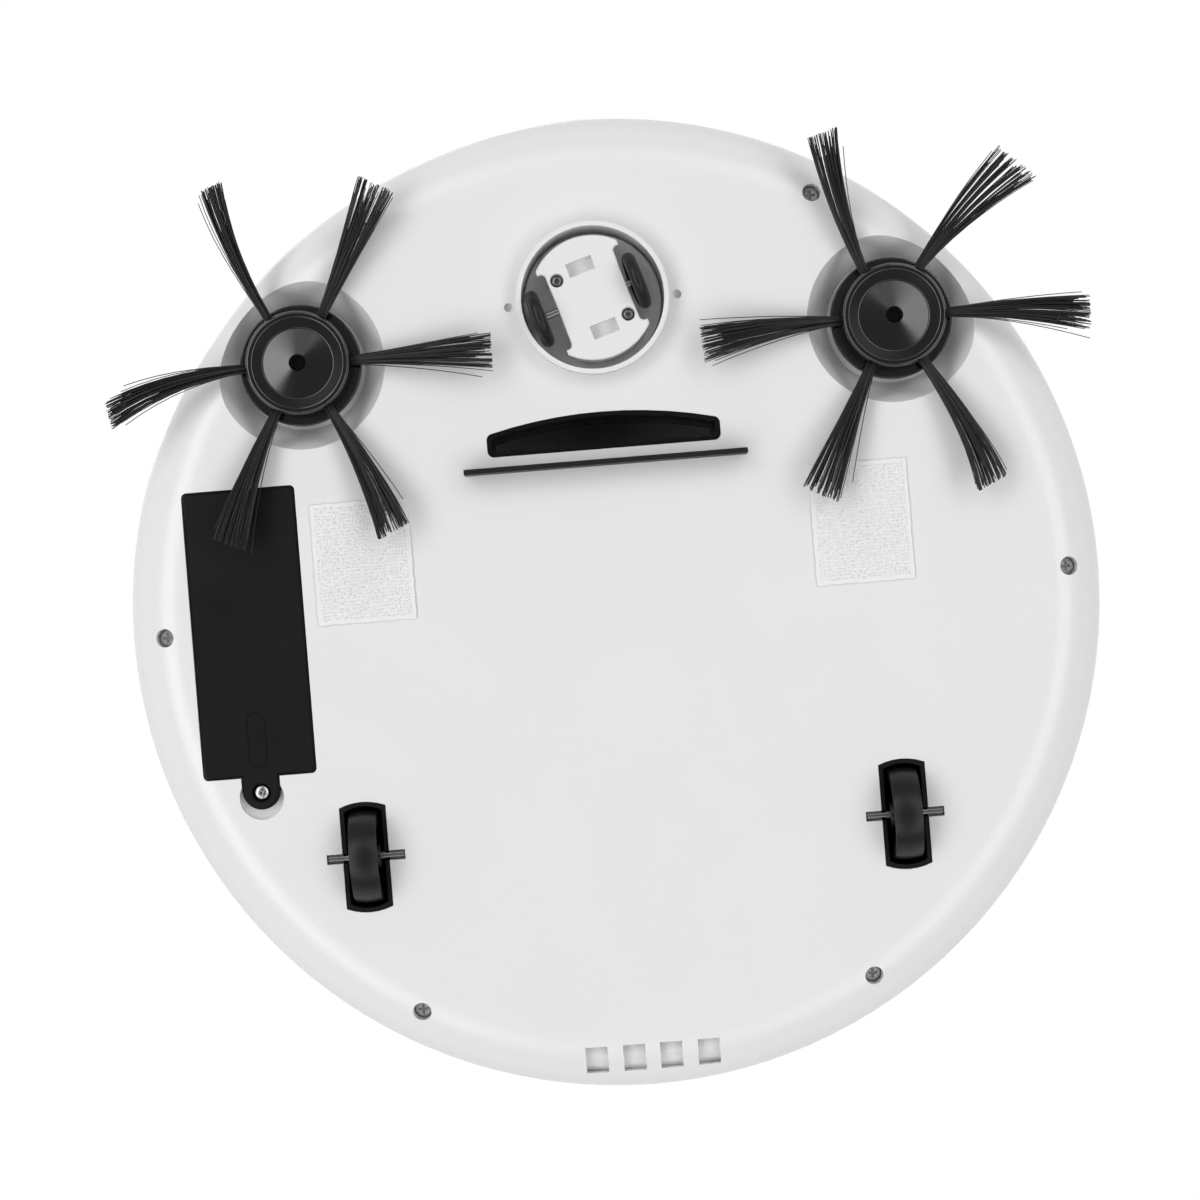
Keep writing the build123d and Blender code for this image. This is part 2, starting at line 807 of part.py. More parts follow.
def turntable_plate():
    """The white cover plate with two windows and two screw seats."""
    plate = slab(drive_plate_outline(drive_notch_l), drive_plate_z, drive_plate_z + drive_plate_t)
    face = plate.faces().sort_by(Axis.Z)[0]
    plate = chamfer(face.outer_wire().edges(), 0.25)
    for end in (-1, 1):
        plate -= block(window_w, window_l, 0, axle_z, (0, end * window_at))
        spot = (end * drive_screw_u, end * drive_screw_v)
        plate -= post(drive_screw_d + 0.4, 0, drive_plate_z + 0.9, spot)
        plate -= post(1.7, 0, axle_z, spot)
    groove = drive_axle_d + 2 * run_fit
    return steered(plate - bar_x(groove, drive_plate_d, (0, 0, axle_z)))


def turntable_screws():
    """Two cross head screws in the plate."""
    screw = pan_screw(drive_screw_d, 0.8, 1.5, 4.0)
    z0 = drive_plate_z + 0.1
    spots = [(end * drive_screw_u, end * drive_screw_v) for end in (-1, 1)]
    return [steered(Pos(x, y, z0) * screw) for x, y in spots]


def turntable_housing():
    """The swivelling housing: gear block, disc and hollow neck."""
    low = drive_plate_z + drive_plate_t
    block_top = table_disc_z + 0.1
    body = slab(drive_plate_outline(drive_plate_d), low, block_top)
    body += post(table_disc_d, table_disc_z, table_disc_z + table_disc_t)
    body += post(table_neck_d, table_disc_z, well_top + wall + 5)
    body -= bar_x(drive_axle_d + 2 * run_fit, drive_plate_d, (0, 0, axle_z))
    body -= post(drive_shaft_d + 2 * run_fit, axle_z + 2.3, seam_z)
    for end in (-1, 1):
        body -= block(window_w, window_l, 0, low + 1.6, (0, end * window_at))
        body -= post(1.6, 0, low + 4.2, (end * drive_screw_u, end * drive_screw_v))
    return steered(body)


def turntable_ring():
    """The ring pushed on the neck above the shell."""
    z0 = well_top + wall + free_gap
    ring = post(table_neck_d + 4, z0, z0 + 1.2) - post(table_neck_d + 0.04, 0, seam_z)
    return steered(ring)


def drive_axle():
    """The steel axle of the drive wheels."""
    length = drive_track + drive_wheel_w
    axle = bar_x(drive_axle_d, length, (axle_float, 0, axle_z))
    return steered(chamfer(axle.edges().filter_by(GeomType.CIRCLE), 0.2))


def drive_wheel(side):
    """A round-section tyre moulded on a thin hub."""
    w = drive_wheel_w / 2
    r = drive_wheel_d / 2
    bore = drive_axle_d / 2 + 0.02
    section = make_face(
        [
            Polyline((-w * 0.5, r - w), (-w * 0.5, bore), (w * 0.5, bore), (w * 0.5, r - w)),
            Line((w * 0.5, r - w), (w, r - w)),
            ThreePointArc((w, r - w), (0, r), (-w, r - w)),
            Line((-w, r - w), (-w * 0.5, r - w)),
        ]
    )
    wheel = revolve(Plane.XZ * section, Axis.X)
    return steered(Pos(side * drive_track / 2 + axle_float, 0, axle_z) * wheel)


def drive_shaft():
    """The upright shaft from the geared motor down the turntable's neck."""
    shaft = post(drive_shaft_d, axle_z + 2.5, drive_motor_z + 6)
    return steered(shaft - block(4, 1, drive_motor_z + 1, drive_motor_z + 7, (0, 1.6)))


def drive_motor():
    """The geared motor over the turntable on its flange."""
    z0 = drive_motor_z
    motor = post(drive_motor_d, z0 + 2, z0 + drive_motor_h)
    motor = fillet(motor.edges().filter_by(GeomType.CIRCLE).sort_by(Axis.Z)[-1], 1.5)
    motor += slab(SlotOverall(34.0, 13.0), z0, z0 + 2.1)
    motor += post(9.0, z0 + drive_motor_h - 0.1, z0 + drive_motor_h + 1.4)
    motor -= post(drive_shaft_d + 2 * run_fit, 0, z0 + 7)
    return Pos(0, drive_y, 0) * motor


def fan_housing():
    """The fan's drum with its exhaust duct to the vents, one moulding."""
    back = fan_y + fan_depth
    drum = bar_y(fan_d, fan_y, back, 0, fan_z)
    drum += bar_y(fan_eye_d + 4, bin_back + 0.4, fan_y + 0.1, 0, fan_z)
    room = cup(body_d - 2 * wall - 2 * seat_gap, floor_z, edge_round - wall, seam_z)
    length = body_r - fan_y
    channel = block(duct_w, length, floor_z, floor_z + duct_h, (0, fan_y + length / 2))
    drum += channel & room
    drum -= bar_y(fan_d - 2 * fan_wall, fan_y + fan_wall, back - fan_wall, 0, fan_z)
    inner_w = duct_w - 2 * fan_wall
    inner = block(inner_w, length, 0, floor_z + duct_h - fan_wall, (0, fan_y + fan_wall + length / 2))
    drum -= inner
    turn_l = body_r - vent_y + vent_l
    turn_at = (0, body_r + 2 - turn_l / 2)
    drum += block(inner_w + 1, turn_l, floor_z + vent_turn, floor_z + duct_h - 1, turn_at) & room
    mouth_y0 = fan_y + fan_depth / 2
    drum -= block(fan_d * 0.5, fan_depth - 2 * fan_wall, floor_z, fan_z - fan_d / 3, (0, mouth_y0))
    drum -= bar_y(fan_eye_d, 0, fan_y + fan_wall + 1, 0, fan_z)
    return drum - bar_y(fan_shaft_d + 3, fan_y, back + 1, 0, fan_z)


def fan_impeller():
    """Back plate, leaning blades and shaft of the fan."""
    plate_y = fan_y + fan_depth - fan_wall - 2.2
    wheel = bar_y(impeller_d, plate_y, plate_y + 1.4, 0, fan_z)
    wheel += bar_y(8.0, plate_y - 9.0, plate_y + 0.1, 0, fan_z)
    wheel += bar_y(fan_shaft_d, plate_y - 9.5, plate_y + 14, 0, fan_z)
    mid_r = impeller_d * 0.36
    for i in range(blade_count):
        blade = Pos(mid_r, plate_y - 4.9, 0) * Rot(0, blade_lean, 0) * Box(7.5, 10.0, blade_t)
        wheel += Pos(0, 0, fan_z) * Rot(0, 360 * i / blade_count, 0) * blade
    return wheel


def fan_motor():
    """The fan's motor can behind the drum."""
    y0 = fan_y + fan_depth
    can = bar_y(fan_motor_d, y0, y0 + fan_motor_l, 0, fan_z)
    can = fillet(can.edges().filter_by(GeomType.CIRCLE).sort_by(Axis.Y)[-1], 1.5)
    can += bar_y(8.0, y0 + fan_motor_l - 0.1, y0 + fan_motor_l + 1.6, 0, fan_z)
    return can - bar_y(fan_shaft_d + 2 * run_fit, y0 - 1, y0 + 14, 0, fan_z)


def cover_disc(grow, z0, z1):
    """The cover's round outline, cut straight in front of the hinge."""
    disc = post(cover_d + 2 * grow, z0, z1)
    front = hinge_y - hinge_d / 2 - hinge_swing
    return disc - block(cover_d * 2, cover_d, z0 - 1, z1 + 1, (0, front + cover_d / 2))


def dust_box():
    """The lift-out box: tub, inlet chimney, flange and hinge block."""
    tub = slab(bin_outline(0), bin_z, flange_top)
    tub -= slab(bin_outline(-bin_t), bin_z + bin_t, flange_top + 1)
    inlet = offset(mouth_outline(), -duct_t)
    tub += slab(offset(inlet, bin_t), bin_z, bin_z + chimney_h) & slab(bin_outline(-0.1), 0, overall_h)
    tub -= slab(inlet, 0, bin_z + chimney_h + 1)
    flange = post(cover_d - 2 * free_gap, flange_top - flange_t, flange_top)
    hinge = post(cover_d - 2 * free_gap, flange_top, overall_h)
    hinge -= block(cover_d * 2, cover_d, 0, overall_h + 1, (0, hinge_y - hinge_d / 2 - 0.2 - cover_d / 2))
    hinge -= block(hinge_l + 2 * free_gap, hinge_d + 2 * free_gap + 1, 0, 90, (0, hinge_y - 0.5))
    pin_d = hinge_pin_d + 2 * run_fit
    hinge -= bar_x(pin_d, hinge_l + 2 * hinge_pin_l + 2 * free_gap, (0, hinge_y, hinge_z))
    tub += flange - slab(bin_outline(-bin_t), bin_z + bin_t, overall_h)
    tub += hinge
    low = bin_z + 12
    return tub - block(filter_w - 12, 10, low, low + filter_h - 8, (0, bin_back))


def dust_filter():
    """A framed pleated filter against the box's back wall."""
    y1 = bin_back - bin_t
    z0 = bin_z + 8
    frame = block(filter_w, filter_t, z0, z0 + filter_h, (0, y1 - filter_t / 2))
    frame = fillet(frame.edges().filter_by(Axis.Y), 2.0)
    inner_w = filter_w - 2 * filter_frame
    pitch = inner_w / pleat_count
    for i in range(pleat_count):
        x = (i - (pleat_count - 1) / 2) * pitch
        fold = Pos(x, y1 - filter_t) * Polygon((-pitch * 0.4, -1), (pitch * 0.4, -1), (0, 4.6), align=None)
        frame -= slab(fold, z0 + filter_frame, z0 + filter_h - filter_frame)
    return frame


def dust_cover():
    """The hinged round cover with a grip ridge at its front."""
    cover = cover_disc(0, cover_z, overall_h)
    cover = fillet(cover.edges().filter_by(GeomType.CIRCLE).sort_by(Axis.Z)[-1], cover_edge)
    grip = slab(SlotOverall(grip_w, 3.2), overall_h - 0.1, overall_h + grip_h)
    grip = fillet(grip.edges().group_by(Axis.Z)[-1], 0.5)
    cover += Pos(0, 7 - cover_d / 2, 0) * grip
    web = hinge_d / 2 + hinge_swing + 0.1
    cover += block(hinge_l, web, cover_z, overall_h, (0, hinge_y - web / 2))
    cover += bar_x(hinge_d, hinge_l, (0, hinge_y, hinge_z))
    return cover + bar_x(hinge_pin_d, hinge_l + 2 * hinge_pin_l, (0, hinge_y, hinge_z))


def power_button():
    """The round button with its retaining skirt and stem."""
    cap = post(button_d, skirt_z, overall_h + button_proud)
    cap = fillet(cap.edges().filter_by(GeomType.CIRCLE).sort_by(Axis.Z)[-1], 0.7)
    cap += post(button_skirt_d, skirt_z, skirt_z + button_skirt_t)
    cap += post(4.0, stem_z, skirt_z + 0.1)
    return Pos(0, button_y, 0) * cap


def control_board():
    """The board under the button with its switch, chip and plug."""
    board = block(board_w, board_l, board_z, board_top, (0, button_y))
    board += block(6.0, 6.0, board_top, board_top + switch_h - 0.6, (0, button_y))
    board += post(3.4, board_top, board_top + switch_h, (0, button_y))
    board += block(7.0, 7.0, board_top, board_top + 1.0, (12, button_y - 5))
    return board + block(10.0, 5.0, board_top, board_top + 4.5, (-12, button_y + 9))


def charge_socket():
    """The charging socket in the back wall, open to the outside."""
    face_y = body_r - 0.4
    z0 = socket_z - socket_h / 2
    shell = block(socket_w, socket_l, z0, z0 + socket_h, (0, face_y - socket_l / 2))
    edges = shell.edges().filter_by(Axis.Y)
    shell = fillet(edges, 1.0)
    room_h = socket_h - 2 * socket_wall
    low = z0 + socket_wall
    room = block(socket_w - 2 * socket_wall, socket_l, low, low + room_h, (0, face_y + 1 - socket_l / 2))
    tongue = block(5.6, socket_l - 2, socket_z - 0.35, socket_z + 0.35, (0, face_y - 1 - socket_l / 2))
    return shell - room + tongue


def nodes():
    """Every node's name with its solid or group of solids."""
    made = {
        "bottom_shell": bottom_shell(),
        "top_shell": top_shell(),
        "shell_screws": shell_screws(),
        "battery_door": battery_door(),
        "battery_door_screw": battery_door_screw(),
        "battery_cell": battery_cell(),
        "battery_contacts": battery_contacts(),
        "wiper_strip": wiper_strip(),
        "inlet_duct": inlet_duct(),
        "turntable_plate": turntable_plate(),
        "turntable_screws": turntable_screws(),
        "turntable_housing": turntable_housing(),
        "turntable_ring": turntable_ring(),
        "drive_axle": drive_axle(),
        "drive_shaft": drive_shaft(),
        "drive_motor": drive_motor(),
        "fan_housing": fan_housing(),
        "fan_impeller": fan_impeller(),
        "fan_motor": fan_motor(),
        "dust_box": dust_box(),
        "dust_filter": dust_filter(),
        "dust_cover": dust_cover(),
        "power_button": power_button(),
        "status_lens": lens_ring(0),
        "control_board": control_board(),
        "charge_socket": charge_socket(),
    }
    for name, side in (("left", -1), ("right", 1)):
        made[f"{name}_hook_pad"] = hook_pad(side)
        made[f"{name}_wheel_housing"] = wheel_housing(side)
        made[f"{name}_rear_axle"] = rear_axle(side)
        made[f"{name}_rear_wheel"] = rear_wheel(side)
        made[f"{name}_drive_wheel"] = drive_wheel(side)
        made[f"{name}_brush_hub"] = brush_hub(side)
        made[f"{name}_brush_gear"] = brush_gear(side)
        made[f"{name}_motor_pinion"] = motor_pinion(side)
        made[f"{name}_motor_bracket"] = motor_bracket(side)
        made[f"{name}_brush_motor"] = brush_motor(side)
        for i in range(tuft_count):
            made[f"{name}_brush_tuft_{i + 1}"] = brush_tuft(side, i)
    return made


os.makedirs("parts", exist_ok=True)
for node, shape in nodes().items():
    if isinstance(shape, list):
        shape = Compound(children=[one.solid() for one in shape])
    export_step(shape, f"parts/{node}.step")
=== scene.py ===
"""Looks for a round robot vacuum seen from underneath: finishes, bristles, hook tape and the studio.

Metres, +Z up, front with the two brushes to -Y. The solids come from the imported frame.
"""

from math import cos, pi, radians, sin

import bpy
from bpy.props import FloatProperty, FloatVectorProperty, IntProperty, PointerProperty
from mathutils import Matrix, Vector


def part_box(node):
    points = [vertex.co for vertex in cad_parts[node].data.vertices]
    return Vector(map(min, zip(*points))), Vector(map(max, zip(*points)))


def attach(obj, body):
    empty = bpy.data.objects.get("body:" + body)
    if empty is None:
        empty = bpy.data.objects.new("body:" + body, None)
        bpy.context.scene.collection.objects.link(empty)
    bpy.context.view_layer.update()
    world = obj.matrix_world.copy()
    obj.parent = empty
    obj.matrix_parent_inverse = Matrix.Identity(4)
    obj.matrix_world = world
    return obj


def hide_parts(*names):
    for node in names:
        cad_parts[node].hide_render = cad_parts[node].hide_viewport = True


bl_info = {
    "name": "Robot vacuum looks",
    "version": (1, 0, 0),
    "blender": (4, 5, 0),
    "location": "3D View > Sidebar > Robot vacuum",
    "description": "Finishes, bristles, hook tape and studio for a robot vacuum",
    "category": "Object",
}

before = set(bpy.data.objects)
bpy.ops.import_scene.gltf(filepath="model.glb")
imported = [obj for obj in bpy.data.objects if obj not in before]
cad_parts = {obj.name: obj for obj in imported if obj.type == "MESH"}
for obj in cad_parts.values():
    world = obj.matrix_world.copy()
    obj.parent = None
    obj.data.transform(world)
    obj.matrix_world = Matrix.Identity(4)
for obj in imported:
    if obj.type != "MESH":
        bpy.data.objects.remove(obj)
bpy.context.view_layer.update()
mm = 0.001
full_turn = 6.28
even_lines = (1.0, 1.0, 0.5)
sides = ("left", "right")


def middle(node):
    """The middle of a node's box."""
    low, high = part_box(node)
    return (Vector(low) + Vector(high)) / 2


class Nodes:
    """Adds nodes to one tree and links them by socket name."""

    def __init__(self, tree):
        self.tree = tree

    def add(self, kind, inputs=None, **settings):
        """A node with its settings, its inputs given as values or as other nodes' sockets."""
        node = self.tree.nodes.new(kind)
        for key, value in settings.items():
            setattr(node, key, value)
        for key, value in (inputs or {}).items():
            if isinstance(value, bpy.types.NodeSocket):
                self.tree.links.new(value, node.inputs[key])
            else:
                node.inputs[key].default_value = value
        return node

    def math(self, operation, *values):
        """One step of arithmetic on numbers or sockets."""
        return self.add("ShaderNodeMath", dict(enumerate(values)), operation=operation).outputs[0]

    def times(self, first, second):
        """A product."""
        return self.math("MULTIPLY", first, second)

    def plus(self, first, second):
        """A sum."""
        return self.math("ADD", first, second)

    def minus(self, first, second):
        """A difference."""
        return self.math("SUBTRACT", first, second)

    def power(self, base, exponent):
        """A power."""
        return self.math("POWER", base, exponent)

    def triple(self, x=0.0, y=0.0, z=0.0):
        """A vector made of three numbers."""
        return self.add("ShaderNodeCombineXYZ", {0: x, 1: y, 2: z}).outputs[0]

    def spread(self, value, low, high, start=0.0, end=1.0):
        """A value between start and end stretched to a range."""
        sockets = {"Value": value, "From Min": start, "From Max": end, "To Min": low, "To Max": high}
        return self.add("ShaderNodeMapRange", sockets).outputs[0]

    def noise(self, place, size, detail=3.0, stretch=(1.0, 1.0, 1.0)):
        """Noise whose grain is about the given size."""
        grain = self.add("ShaderNodeMapping", {"Vector": place, "Scale": stretch}).outputs[0]
        sockets = {"Vector": grain, "Scale": 1 / size, "Detail": detail}
        return self.add("ShaderNodeTexNoise", sockets).outputs[0]

    def blend(self, share, first, second):
        """A colour between two colours."""
        sockets = {0: share, 6: (*first, 1.0), 7: (*second, 1.0)}
        return self.add("ShaderNodeMix", sockets, data_type="RGBA").outputs[2]


def finish_of(name, **fixed):
    """A new material: its nodes, its shader and the object's own coordinates."""
    material = bpy.data.materials.new(name)
    material.use_nodes = True
    material.node_tree.nodes.clear()
    nodes = Nodes(material.node_tree)
    shader = nodes.add("ShaderNodeBsdfPrincipled", fixed)
    out = nodes.add("ShaderNodeOutputMaterial")
    nodes.tree.links.new(shader.outputs[0], out.inputs["Surface"])
    place = nodes.add("ShaderNodeTexCoord").outputs["Object"]
    return material, nodes, shader, place


def moulded(name, colour, rough, grain, relief, wear=0.08, shine=0.5):
    """Moulded plastic: faint clouding, a fine surface grain and uneven polish."""
    cloud_size = 22 * mm
    material, nodes, shader, place = finish_of(name, **{"Specular IOR Level": shine})
    cloud = nodes.noise(place, cloud_size)
    fine = nodes.noise(place, grain)
    pale = [c * (1 + wear) for c in colour]
    dark = [c * (1 - wear) for c in colour]
    links = nodes.tree.links
    links.new(nodes.blend(cloud, dark, pale), shader.inputs["Base Color"])
    links.new(nodes.spread(cloud, rough * 0.8, rough * 1.2), shader.inputs["Roughness"])
    bump = nodes.add("ShaderNodeBump", {"Height": fine, "Strength": 1.0, "Distance": relief})
    links.new(bump.outputs[0], shader.inputs["Normal"])
    return material


def drawn_metal(name, colour, rough, stretch, metal=1.0):
    """Metal with fine drawn lines along one direction."""
    line_size = 0.4 * mm
    line_depth = 0.02 * mm
    material, nodes, shader, place = finish_of(name, Metallic=metal)
    lines = nodes.noise(place, line_size, 2.0, stretch)
    links = nodes.tree.links
    dark = [c * 0.8 for c in colour]
    links.new(nodes.blend(lines, dark, colour), shader.inputs["Base Color"])
    links.new(nodes.spread(lines, rough * 0.7, rough * 1.3), shader.inputs["Roughness"])
    bump = nodes.add("ShaderNodeBump", {"Height": lines, "Strength": 0.4, "Distance": line_depth})
    links.new(bump.outputs[0], shader.inputs["Normal"])
    return material


def paint(material, *names):
    """Give CAD nodes a finish."""
    for name in names:
        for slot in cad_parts[name].material_slots:
            slot.material = material


class FinishSizes(bpy.types.PropertyGroup):
    """Colours and polish of the mouldings."""

    white: FloatVectorProperty(
        name="White", description="Shell colour", subtype="COLOR", default=(0.82, 0.82, 0.82), min=0, max=1
    )
    black: FloatVectorProperty(
        name="Black", description="Colour of the black mouldings", subtype="COLOR",
        default=(0.005, 0.005, 0.0052), min=0, max=1,
    )
    white_rough: FloatProperty(name="Shell roughness", description="Polish of the shells", default=0.24)


class BristleSizes(bpy.types.PropertyGroup):
    """Sizes of the bristle tufts."""

    strands: IntProperty(name="Strands", description="Strands in one tuft", default=130)
    left: FloatVectorProperty(
        name="Left leans", description="Sideways bend of each left tuft in degrees", size=6,
        default=(1.4, 5.0, -4.9, -10.9, 8.6, -1.1),
    )
    right: FloatVectorProperty(
        name="Right leans", description="Sideways bend of each right tuft in degrees", size=6,
        default=(4.4, 5.0, -2.6, -4.1, 13.0, 13.7),
    )
    left_curls: FloatVectorProperty(
        name="Left curls", description="How late each left tuft bends", size=6,
        default=(0.8, 1.4, 1.1, 1.3, 1.2, 1.0),
    )
    right_curls: FloatVectorProperty(
        name="Right curls", description="How late each right tuft bends", size=6,
        default=(1.2, 2.0, 0.3, 1.3, 0.75, 0.7),
    )
    left_fans: FloatVectorProperty(
        name="Left fans", description="How far each left tuft spreads", size=6,
        default=(1.0, 1.0, 1.05, 0.8, 0.6, 1.1),
    )
    right_fans: FloatVectorProperty(
        name="Right fans", description="How far each right tuft spreads", size=6,
        default=(1.0, 0.9, 1.1, 1.0, 0.9, 1.45),
    )
    root_r: FloatProperty(
        name="Root", description="Root distance from the hub axis", unit="LENGTH", default=10.2 * mm
    )
    tip_r: FloatProperty(
        name="Reach", description="Tip distance from the hub axis", unit="LENGTH", default=48 * mm
    )
    root_z: FloatProperty(
        name="Root height", description="Root over the floor", unit="LENGTH", default=8.2 * mm
    )
    tip_z: FloatProperty(name="Tip height", description="Tip over the floor", unit="LENGTH", default=2.5 * mm)
    root_w: FloatProperty(name="Root width", description="Bundle in the hub", unit="LENGTH", default=2.5 * mm)
    tip_w: FloatProperty(name="Tip width", description="Fan at the tips", unit="LENGTH", default=10.4 * mm)
    tip_t: FloatProperty(
        name="Tip depth", description="Fan depth at the tips", unit="LENGTH", default=2.8 * mm
    )
    thick: FloatProperty(name="Strand", description="Strand thickness", unit="LENGTH", default=0.26 * mm)


class TapeSizes(bpy.types.PropertyGroup):
    """Sizes of the hook tape."""

    base_t: FloatProperty(
        name="Tape", description="Thickness of the woven base", unit="LENGTH", default=0.5 * mm
    )
    pitch: FloatProperty(name="Pitch", description="Distance between hooks", unit="LENGTH", default=0.8 * mm)
    border: FloatProperty(name="Border", description="Edge without hooks", unit="LENGTH", default=1.3 * mm)


class StudioSizes(bpy.types.PropertyGroup):
    """Camera and lamps."""

    distance: FloatProperty(name="Distance", description="Camera to underside", unit="LENGTH", default=0.650)
    lens: FloatProperty(name="Lens", description="Focal length in millimetres", default=78.6)
    turn: FloatProperty(
        name="Turn", description="How far the robot is turned", subtype="ANGLE", default=radians(4.6)
    )
    ring: FloatProperty(name="Ring", description="Level of the bright ring round the camera", default=2.5)
    lean: FloatProperty(name="Lean", description="How much brighter the ring is on the left", default=0.25)
    top: FloatProperty(name="Top lamp", description="Power of the lamp over the robot", default=3.0)
    sky: FloatProperty(name="Even light", description="Level of the light from below", default=0.16)


class VAC_OT_mouldings(bpy.types.Operator):
    """Finish the plastic mouldings"""

    bl_idname = "vac.mouldings"
    bl_label = "Mouldings"

    def execute(self, context):
        size = context.scene.vac_finish
        white = moulded(
            "white_shell", size.white, rough=size.white_rough, grain=1.6 * mm, relief=0.004 * mm, wear=0.012
        )
        satin = moulded(
            "satin_black", size.black, rough=0.42, grain=0.5 * mm, relief=0.012 * mm, wear=0.2, shine=0.22
        )
        gloss = moulded(
            "gloss_black", size.black, rough=0.10, grain=1.2 * mm, relief=0.002 * mm, wear=0.1, shine=1.0
        )
        deep = moulded(
            "duct_black", size.black, rough=0.2, grain=1.2 * mm, relief=0.003 * mm, wear=0.1, shine=0.3
        )
        grey = moulded("satin_grey", (0.42, 0.43, 0.44), rough=0.45, grain=0.6 * mm, relief=0.01 * mm)
        smoke = moulded("smoke_grey", (0.05, 0.05, 0.055), rough=0.18, grain=1.5 * mm, relief=0.004 * mm)
        nylon = moulded("gear_nylon", (0.72, 0.71, 0.66), rough=0.4, grain=0.8 * mm, relief=0.008 * mm)
        frost = moulded("frosted_lens", (0.7, 0.75, 0.8), rough=0.35, grain=0.3 * mm, relief=0.006 * mm)
        paint(white, "bottom_shell", "top_shell", "dust_cover", "fan_housing")
        paint(white, "turntable_plate", "turntable_housing")
        paint(satin, "battery_door", "left_wheel_housing", "right_wheel_housing")
        # The brush gears are painted black so that their spindles in the hub holes read dark: painted shade
        # in the holes.
        paint(satin, "left_brush_gear", "right_brush_gear")
        paint(gloss, "left_brush_hub", "right_brush_hub")
        paint(deep, "inlet_duct")
        paint(grey, "fan_impeller", "left_motor_bracket", "right_motor_bracket", "power_button")
        paint(smoke, "dust_box")
        paint(nylon, "left_motor_pinion", "right_motor_pinion")
        paint(frost, "status_lens")
        return {"FINISHED"}


class VAC_OT_rubber(bpy.types.Operator):
    """Finish the rubber wheels and the wiper"""

    bl_idname = "vac.rubber"
    bl_label = "Rubber"

    def execute(self, context):
        tyre = moulded(
            "satin_tyre", (0.010, 0.010, 0.0103), rough=0.36, grain=0.7 * mm, relief=0.015 * mm,
            wear=0.25, shine=0.3,
        )
        wiper = moulded(
            "matt_rubber", (0.006, 0.006, 0.0062), rough=0.5, grain=0.5 * mm, relief=0.02 * mm,
            wear=0.2, shine=0.3,
        )
        paint(tyre, "left_drive_wheel", "right_drive_wheel", "left_rear_wheel", "right_rear_wheel")
        paint(wiper, "wiper_strip")
        return {"FINISHED"}


class VAC_OT_metal(bpy.types.Operator):
    """Finish the screws, axles, motors and contacts"""

    bl_idname = "vac.metal"
    bl_label = "Metal"

    def execute(self, context):
        along_x, along_z, around = (0.1, 1.0, 1.0), (1.0, 1.0, 0.1), (0.3, 0.3, 1.0)
        pin = drawn_metal("bright_pin", (0.36, 0.36, 0.37), rough=0.24, stretch=along_x)
        upright = drawn_metal("bright_steel", (0.6, 0.6, 0.61), rough=0.25, stretch=along_z)
        can = drawn_metal("motor_can", (0.5, 0.5, 0.51), rough=0.35, stretch=around)
        zinc = drawn_metal("dull_zinc", (0.88, 0.88, 0.88), rough=0.6, stretch=even_lines, metal=0.0)
        paint(pin, "drive_axle", "left_rear_axle", "right_rear_axle")
        paint(zinc, "shell_screws")
        paint(upright, "battery_contacts", "turntable_ring", "drive_shaft", "charge_socket")
        paint(can, "drive_motor", "fan_motor", "left_brush_motor", "right_brush_motor")
        return {"FINISHED"}


class VAC_OT_inside(bpy.types.Operator):
    """Finish the cell, the board and the filter"""

    bl_idname = "vac.inside"
    bl_label = "Inside"

    def execute(self, context):
        wrap = moulded("cell_wrap", (0.07, 0.19, 0.34), rough=0.25, grain=3 * mm, relief=0.02 * mm)
        mask = moulded("solder_mask", (0.02, 0.15, 0.06), rough=0.3, grain=0.8 * mm, relief=0.01 * mm)
        paper = moulded("filter_paper", (0.74, 0.73, 0.69), rough=0.9, grain=0.25 * mm, relief=0.03 * mm)
        paint(wrap, "battery_cell")
        paint(mask, "control_board")
        paint(paper, "dust_filter")
        return {"FINISHED"}


def tree_with(name, inputs):
    """An empty geometry tree with named inputs, and its nodes."""
    tree = bpy.data.node_groups.new(name, "GeometryNodeTree")
    tree.interface.new_socket("Geometry", in_out="OUTPUT", socket_type="NodeSocketGeometry")
    for label, kind in inputs.items():
        tree.interface.new_socket(label, in_out="INPUT", socket_type=kind)
    nodes = Nodes(tree)
    return nodes, nodes.add("NodeGroupInput").outputs


def end_tree(nodes, geometry, material):
    """Close a tree with real geometry that carries its material."""
    real = nodes.add("GeometryNodeRealizeInstances", {"Geometry": geometry})
    smooth = nodes.add("GeometryNodeSetShadeSmooth", {"Geometry": real.outputs[0]})
    coloured = nodes.add("GeometryNodeSetMaterial", {"Geometry": smooth.outputs[0], "Material": material})
    out = nodes.add("NodeGroupOutput")
    nodes.tree.links.new(coloured.outputs[0], out.inputs[0])
    return nodes.tree


def made_by(tree, name, values, place=Matrix()):
    """Run a geometry tree and keep its result as a plain mesh object."""
    seed = bpy.data.objects.new(name + "_seed", bpy.data.meshes.new(name + "_seed"))
    bpy.context.scene.collection.objects.link(seed)
    modifier = seed.modifiers.new("form", "NODES")
    modifier.node_group = tree
    for item in tree.interface.items_tree:
        if item.in_out == "INPUT" and item.name in values:
            modifier[item.identifier] = values[item.name]
    graph = bpy.context.evaluated_depsgraph_get()
    made = seed.evaluated_get(graph)
    mesh = bpy.data.meshes.new_from_object(made, preserve_all_data_layers=True, depsgraph=graph)
    bpy.data.objects.remove(seed)
    mesh.name = name
    mesh.transform(place)
    piece = bpy.data.objects.new(name, mesh)
    bpy.context.scene.collection.objects.link(piece)
    return piece


